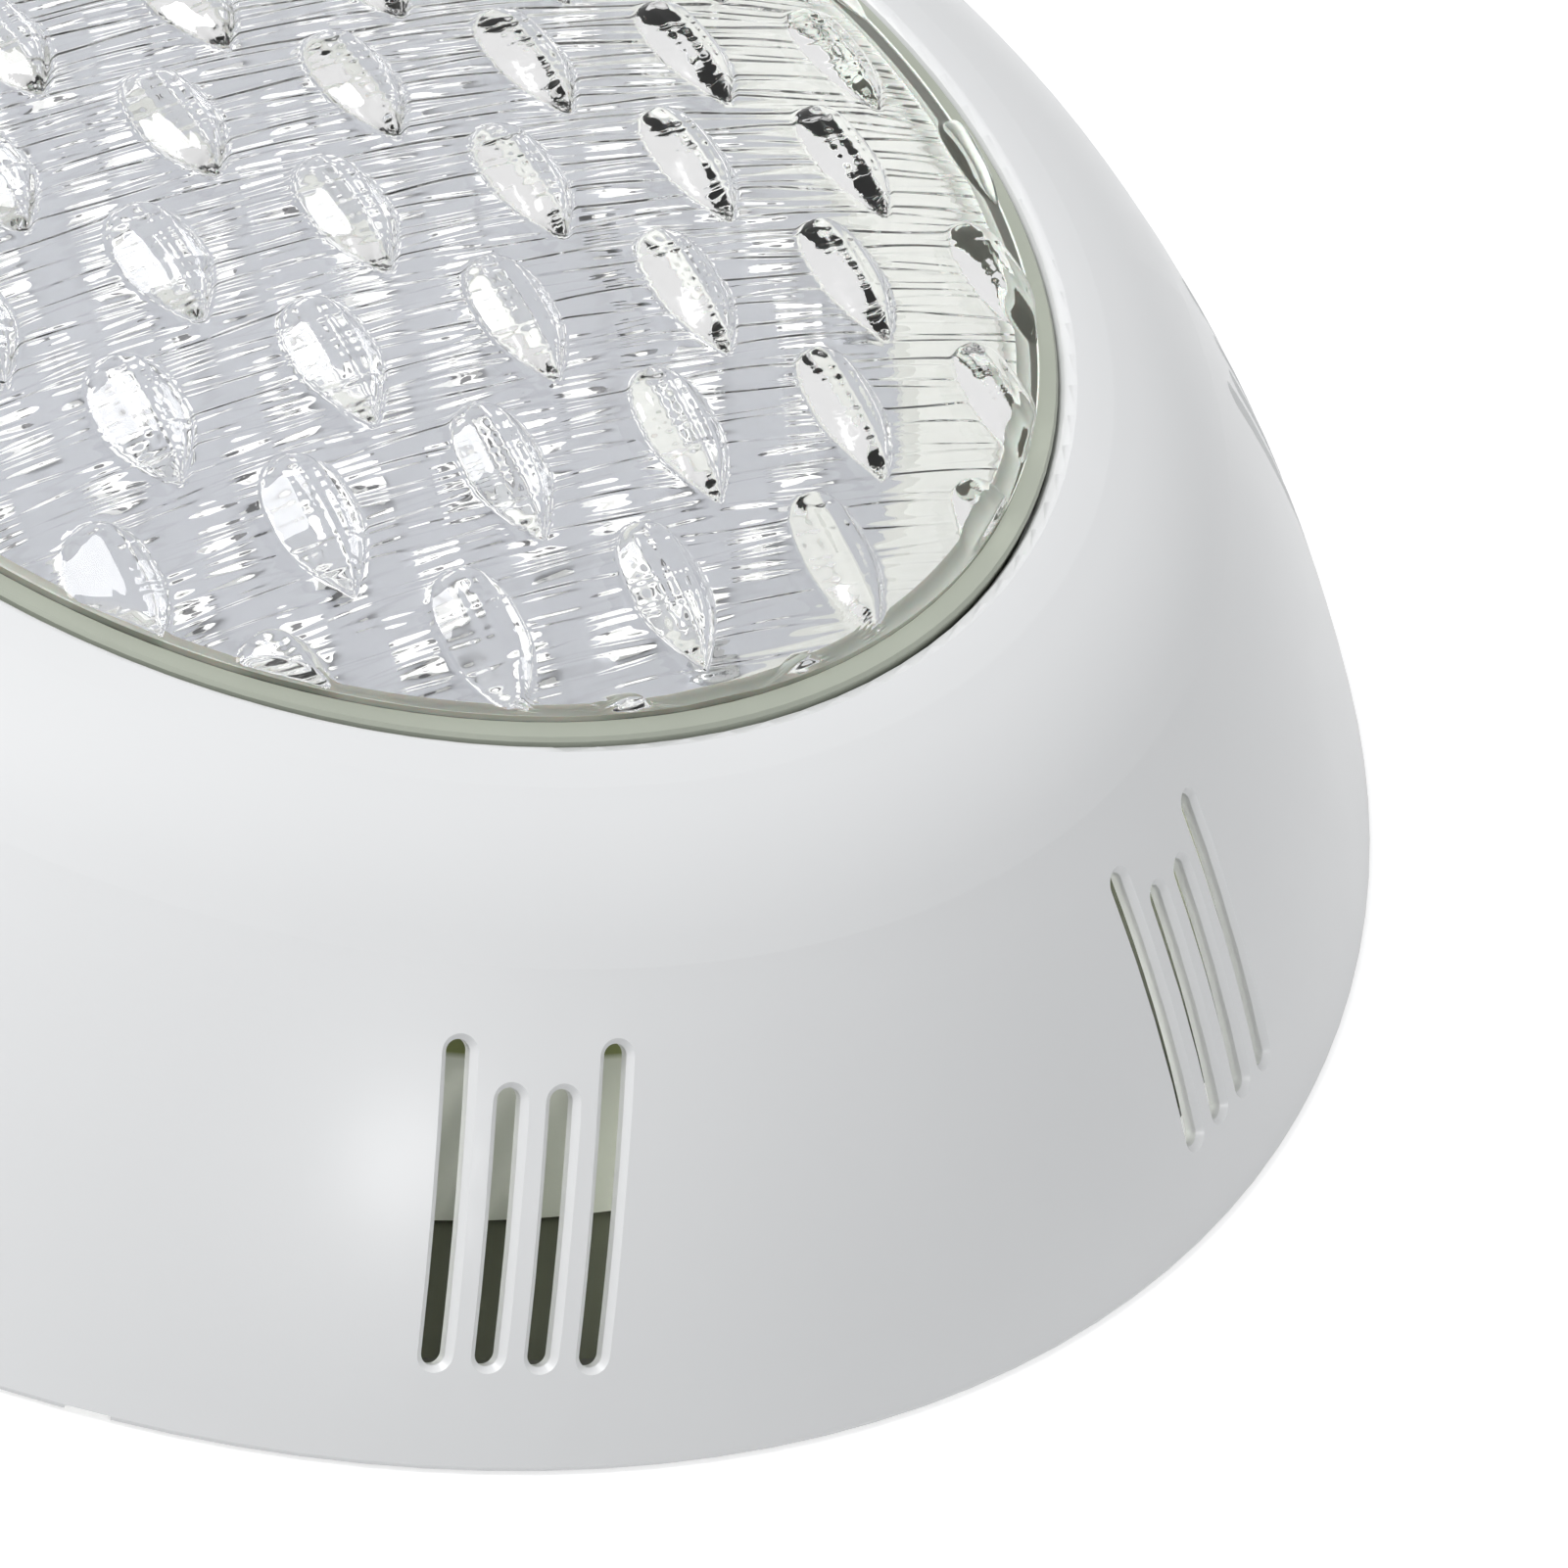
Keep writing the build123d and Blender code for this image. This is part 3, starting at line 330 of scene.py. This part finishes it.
def winding():
    """Enamelled copper wound round the ring core."""
    look = Shader("copper_winding", Metallic=0.6)
    wave = look.add("ShaderNodeTexWave", bands_direction="DIAGONAL")
    wave.inputs["Scale"].default_value = 260.0
    look.link(look.place, wave.inputs["Vector"])
    look.colour(look.ramp(wave.outputs["Fac"], [(0.0, (0.16, 0.05, 0.02)), (1.0, (0.62, 0.27, 0.10))]))
    look.roughness(look.spread(wave.outputs["Fac"], 0.5, 0.25))
    look.bump(wave.outputs["Fac"], 0.0003, 0.8)
    return look.material


# ---------------------------------------------------------------- lens mesh
def lump_centres():
    """Centres of the staggered lumps on the dome, in row coordinates."""
    along, across = row_axes()
    origin = np.array(LUMP_ORIGIN)
    start = np.array([origin @ along, origin @ across])
    centres = []
    for row in range(-12, 13):
        for column in range(-12, 13):
            shift = (column + row % 2 / 2) * LUMP_PITCH_ALONG
            centre = start + (shift, row * LUMP_PITCH_ACROSS)
            if math.hypot(*centre) < DOME_RADIUS + LUMP_HALF_LENGTH:
                centres.append(centre)
    return centres


def lump_rise(u, v):
    """Height of the prismatic lumps at points in row coordinates."""
    rise = np.zeros_like(u)
    for centre_u, centre_v in lump_centres():
        near = (abs(u - centre_u) < LUMP_HALF_WIDTH * 1.3) & (abs(v - centre_v) < LUMP_HALF_LENGTH * 1.1)
        length = (v[near] - centre_v) / LUMP_HALF_LENGTH
        width = (u[near] - centre_u) / LUMP_HALF_WIDTH
        rise[near] = np.maximum(rise[near], one_lump(width, length))
    return rise


def one_lump(width, length):
    """Leaf shaped lump: blunt at one end, pointed at the other, bulging on one side only."""
    front = np.clip(length, 0, 1)
    back = np.clip(-length, 0, 1)
    outline = np.where(length > 0, 1 - front ** 1.7, np.sqrt(1 - back ** 3))
    height = np.where(length > 0, (1 - front ** 2) ** 0.6, np.sqrt(1 - back ** 4))
    crest = LUMP_CREST * outline
    bulging = width < crest
    flank = np.where(bulging, outline + crest, (LUMP_FLAT_SIDE - LUMP_CREST) * outline)
    share = np.clip(abs(width - crest) / np.maximum(flank, 1e-4), 0, 1)
    ridges = LUMP_RIDGE * np.cos(width * LUMP_RIDGES * math.pi) * (1 - share)
    return LUMP_RISE * height * ((1 - share ** 2) ** 1.2 + ridges)


def flute_rise(u, v):
    """Height of the inner face's fine flutes.

    They wander, swell and fade along their length, and flatten under the lumps.
    """
    wander = 0.22 * np.sin(u / 5.3 + 0.9 * v) + 0.2 * np.sin(u / 8.1 - 1.7 * v)
    swell = 0.6 + 0.4 * np.sin(u / 6.7 + 2.3 * v)
    fine = np.cos((v + wander) / FLUTE_PITCH * 2 * math.pi) * swell
    slow = np.cos((v + wander) / FLUTE_BEAT_PITCH * 2 * math.pi)
    under_lump = np.clip(lump_rise(u, v), 0, 1)
    return (FLUTE_DEPTH * fine + FLUTE_BEAT_DEPTH * slow) * (1 - FLUTE_FADE * under_lump)


def dome_points(u, v, height):
    """List of points from row coordinates and heights."""
    along, across = row_axes()
    x = u * along[0] + v * across[0]
    y = u * along[1] + v * across[1]
    return np.stack([x, y, height], -1).reshape(-1, 3)


def chord_grid(radius, rows, columns):
    """Points of rows that run chord by chord across a circle, in row coordinates."""
    v = radius * (2 * (np.arange(rows) + 0.5) / rows - 1)
    half = np.sqrt(radius ** 2 - v ** 2)
    share = np.linspace(-1, 1, columns)
    return half[:, None] * share[None], np.repeat(v[:, None], columns, 1)


def grid_faces(rows, columns, start=0, flip=False):
    """Quads of a grid of points."""
    index = np.arange(rows * columns).reshape(rows, columns) + start
    quads = np.stack([index[:-1, :-1], index[:-1, 1:], index[1:, 1:], index[1:, :-1]], -1).reshape(-1, 4)
    return quads[:, ::-1] if flip else quads


def boundary(rows, columns):
    """Grid indices of the closed edge, turning one way round."""
    index = np.arange(rows * columns).reshape(rows, columns)
    return np.concatenate([index[:, -1], index[::-1, 0]])


def lens_mesh():
    """Vertices and faces of the lens, and which faces belong to its frosted side."""
    u, v = chord_grid(DOME_RADIUS, OUTER_ROWS, OUTER_COLUMNS)
    radius = np.hypot(u, v)
    fade = np.clip((DOME_RADIUS - radius) / EDGE_FADE, 0, 1)
    height = dome_height(radius) + lump_rise(u, v) * fade
    outer = dome_points(u, v, height)
    faces = [grid_faces(OUTER_ROWS, OUTER_COLUMNS, flip=True)]
    ring = boundary(OUTER_ROWS, OUTER_COLUMNS)
    direction = outer[ring, :2] / np.linalg.norm(outer[ring, :2], axis=1)[:, None]
    profile = [
        (DOME_RADIUS, FLANGE_TOP), (FLANGE_RADIUS, FLANGE_TOP), (FLANGE_RADIUS, LENS_FOOT),
        (NECK_RADIUS, LENS_FOOT), (NECK_RADIUS, float(dome_height(NECK_RADIUS, LENS_WALL))),
    ]
    vertices = [outer]
    previous = ring
    count = len(outer)
    for ring_radius, ring_height in profile:
        points = np.c_[direction * ring_radius, np.full(len(ring), ring_height)]
        vertices.append(points)
        current = np.arange(len(ring)) + count
        count += len(ring)
        faces.append(np.stack([
            previous, np.roll(previous, -1), np.roll(current, -1), current
        ], -1)[:, ::-1])
        previous = current
    u, v = chord_grid(NECK_RADIUS, INNER_ROWS, INNER_COLUMNS)
    radius = np.hypot(u, v)
    height = dome_height(radius, LENS_WALL) + flute_rise(u, v)
    vertices.append(dome_points(u, v, height))
    faces.append(grid_faces(INNER_ROWS, INNER_COLUMNS, start=count))
    on_side = [np.full(len(part), 0 < place < len(faces) - 1) for place, part in enumerate(faces)]
    return np.concatenate(vertices), np.concatenate(faces), np.concatenate(on_side)


def build_lens():
    """Clear lens with a frosted side, in place of the plain CAD lens."""
    vertices, faces, side = lens_mesh()
    looks = [clear_plastic(), frosted_edge()]
    lens = mesh_object("lens_fluted", vertices, faces.tolist(), looks, "lamp_head")
    lens.data.polygons.foreach_set("material_index", side.astype(int))
    lens.visible_shadow = False
    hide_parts("lens")
    return lens


# ---------------------------------------------------------------- materials of the CAD nodes
def dress(materials):
    """Gives every CAD node its material."""
    for name, material in materials.items():
        node = nodes[name]
        node.data.materials.clear()
        node.data.materials.append(material)


def cad_materials():
    """Material of each CAD node, by its name."""
    steel = metal("stainless_steel", (0.62, 0.63, 0.64), 0.32)
    screw = metal("screw_steel", (0.60, 0.61, 0.62), 0.28)
    black = moulded("gland_black_nylon", (0.028, 0.028, 0.03), 0.45)
    rubber = moulded("seal_black_rubber", (0.02, 0.02, 0.021), 0.7)
    materials = {
        "front_cover": cover_plastic(),
        # the bracket's very dark olive is partly its own colour and partly painted shade: it is darkened
        # to stand for the shade under the cover
        "wall_bracket": moulded("bracket_olive_abs_and_painted_shade", (0.07, 0.074, 0.052), 0.5),
        "carrier_housing": carrier_plastic(),
        "lamp_bowl": moulded("bowl_white_plastic", (0.68, 0.69, 0.68), 0.4),
        "lens_gasket": silicone(),
        "lens_clamp_ring": steel,
        "clamp_ring_screws": screw,
        "reflector_cone": moulded("reflector_pale", (0.42, 0.428, 0.405), 0.3),
        "led_board": board_resist(),
        "led_chips": chip_material(),
        "led_board_screws": screw,
        "heat_spreader": metal("spreader_aluminium", (0.72, 0.73, 0.74), 0.35),
        "driver_board": circuit_board(),
        "driver_board_screws": screw,
        "driver_capacitors": moulded("capacitor_sleeve", (0.03, 0.035, 0.07), 0.35),
        "driver_inductor": winding(),
        "driver_chips": moulded("chip_black_package", (0.02, 0.02, 0.022), 0.5),
        "terminal_block": moulded("terminal_green", (0.05, 0.22, 0.11), 0.4),
        "terminal_screws": screw,
        "board_leads": moulded("lead_white_silicone", (0.66, 0.66, 0.64), 0.5),
        "clip_screws": screw,
        "gland_body": black,
        "gland_washer": rubber,
        "gland_seal": rubber,
        "gland_locknut": black,
        "gland_nut": black,
    }
    for place in range(4):
        materials[f"swing_clip_{place + 1}"] = steel
    return materials


# ---------------------------------------------------------------- studio
WORLD_STRENGTH = 0.47
FLOOR_COLOUR = 0.72
FLOOR_GLOW = 0.55
FLOOR_REACH = 4.0
FLOOR_DROP = 0.0005           # the floor lies just under the wall plane
LAMP_TARGET = (0.03, -0.05, 0.03)
LAMPS = (                     # name, place, size, power
    ("key", (-0.9, 0.25, 1.25), 0.9, 18.5),
    ("fill", (0.9, -0.9, 0.8), 1.1, 0.3),
    ("sheen", (0.23, -1.11, 0.665), 0.2, 1.9),
)
CAVITY_LAMPS = 8
CAVITY_FIRST_ANGLE = -67.5
CAVITY_CIRCLE = 0.127
CAVITY_HEIGHT = 0.015
CAVITY_POWER = 0.024
CAVITY_COLOUR = (0.98, 1.0, 0.92)
CAVITY_SIZE = 0.004

CAMERA_PLACE = Vector((-0.38207, -0.73719, 0.69853))
CAMERA_RIGHT = Vector((0.929561, -0.229535, 0.288496))
CAMERA_UP = Vector((-0.059502, 0.678868, 0.731845))
CAMERA_LENS = 213.6
CAMERA_SENSOR = 36.0
CAMERA_SHIFT = (0.2883, -0.3578)
CAMERA_NEAR = 0.05


def seen_directly(tree):
    """1 where a ray from the camera, a glossy surface or clear plastic meets the surface."""
    path = tree.nodes.new("ShaderNodeLightPath")
    total = path.outputs["Is Camera Ray"]
    for label in ("Is Glossy Ray", "Is Transmission Ray"):
        larger = tree.nodes.new("ShaderNodeMath")
        larger.operation = "MAXIMUM"
        tree.links.new(total, larger.inputs[0])
        tree.links.new(path.outputs[label], larger.inputs[1])
        total = larger.outputs["Value"]
    return total


def floor_material():
    """White wall under the light, which keeps the light's soft shadow."""
    material = bpy.data.materials.new("floor_white")
    material.use_nodes = True
    tree = material.node_tree
    tree.nodes.clear()
    output = tree.nodes.new("ShaderNodeOutputMaterial")
    diffuse = tree.nodes.new("ShaderNodeBsdfDiffuse")
    diffuse.inputs["Color"].default_value = (FLOOR_COLOUR, FLOOR_COLOUR, FLOOR_COLOUR, 1)
    glow = tree.nodes.new("ShaderNodeEmission")
    tree.links.new(seen_directly(tree), glow.inputs["Strength"])
    glow.inputs["Color"].default_value = (FLOOR_GLOW, FLOOR_GLOW, FLOOR_GLOW, 1)
    both = tree.nodes.new("ShaderNodeAddShader")
    tree.links.new(diffuse.outputs["BSDF"], both.inputs[0])
    tree.links.new(glow.outputs["Emission"], both.inputs[1])
    tree.links.new(both.outputs["Shader"], output.inputs["Surface"])
    return material


def white_world():
    """World that lights the object softly and is pure white where it is seen."""
    world = bpy.data.worlds.new("studio")
    bpy.context.scene.world = world
    world.use_nodes = True
    tree = world.node_tree
    tree.nodes.clear()
    output = tree.nodes.new("ShaderNodeOutputWorld")
    soft = tree.nodes.new("ShaderNodeBackground")
    soft.inputs["Color"].default_value = (0.97, 0.985, 1.0, 1)
    soft.inputs["Strength"].default_value = WORLD_STRENGTH
    white = tree.nodes.new("ShaderNodeBackground")
    white.inputs["Strength"].default_value = 1.0
    mix = tree.nodes.new("ShaderNodeMixShader")
    tree.links.new(seen_directly(tree), mix.inputs["Fac"])
    tree.links.new(soft.outputs["Background"], mix.inputs[1])
    tree.links.new(white.outputs["Background"], mix.inputs[2])
    tree.links.new(mix.outputs["Shader"], output.inputs["Surface"])


def area_lamp(name, place, size, power):
    """Round soft lamp aimed at the middle of what the camera sees."""
    lamp = bpy.data.lights.new(name, "AREA")
    lamp.shape = "DISK"
    lamp.size = size
    lamp.energy = power
    holder = bpy.data.objects.new(name, lamp)
    holder.location = place
    aim = Vector(LAMP_TARGET) - Vector(place)
    holder.rotation_euler = aim.to_track_quat("-Z", "Y").to_euler()
    bpy.context.scene.collection.objects.link(holder)


def cavity_lamp(angle):
    """Weak glow between the cover and the housing, so that the slots aren't black."""
    lamp = bpy.data.lights.new("cavity", "POINT")
    lamp.energy = CAVITY_POWER
    lamp.color = CAVITY_COLOUR
    lamp.shadow_soft_size = CAVITY_SIZE
    holder = bpy.data.objects.new("cavity", lamp)
    x = CAVITY_CIRCLE * math.cos(angle)
    y = CAVITY_CIRCLE * math.sin(angle)
    holder.location = (x, y, CAVITY_HEIGHT)
    holder.visible_camera = False
    holder.visible_glossy = False
    holder.visible_transmission = False
    bpy.context.scene.collection.objects.link(holder)


def add_floor():
    """Flat wall that the light is mounted on."""
    mesh = bpy.data.meshes.new("floor")
    signs = ((-1, -1), (1, -1), (1, 1), (-1, 1))
    corners = [(x * FLOOR_REACH, y * FLOOR_REACH, 0) for x, y in signs]
    mesh.from_pydata(corners, [], [(0, 1, 2, 3)])
    mesh.materials.append(floor_material())
    floor = bpy.data.objects.new("floor", mesh)
    floor.location = (0, 0, -FLOOR_DROP)
    bpy.context.scene.collection.objects.link(floor)


def add_camera():
    """Long lens, tilted and rolled; the shift frames the lower right of the light."""
    data = bpy.data.cameras.new("camera")
    data.sensor_width = CAMERA_SENSOR
    data.lens = CAMERA_LENS
    data.shift_x, data.shift_y = CAMERA_SHIFT
    data.clip_start = CAMERA_NEAR
    camera = bpy.data.objects.new("camera", data)
    back = CAMERA_RIGHT.cross(CAMERA_UP)
    columns = (CAMERA_RIGHT, CAMERA_UP, back, CAMERA_PLACE)
    rows = [tuple(column[axis] for column in columns) for axis in range(3)]
    camera.matrix_world = Matrix((*rows, (0, 0, 0, 1)))
    bpy.context.scene.collection.objects.link(camera)
    bpy.context.scene.camera = camera


def light_studio():
    """White world, soft lamps, the glow behind the slots and the floor."""
    white_world()
    for name, place, size, power in LAMPS:
        area_lamp(name, place, size, power)
    for place in range(CAVITY_LAMPS):
        cavity_lamp(math.radians(CAVITY_FIRST_ANGLE + 360.0 * place / CAVITY_LAMPS))
    add_floor()


dress(cad_materials())
build_lens()
light_studio()
add_camera()
bpy.context.scene.view_settings.view_transform = "Standard"
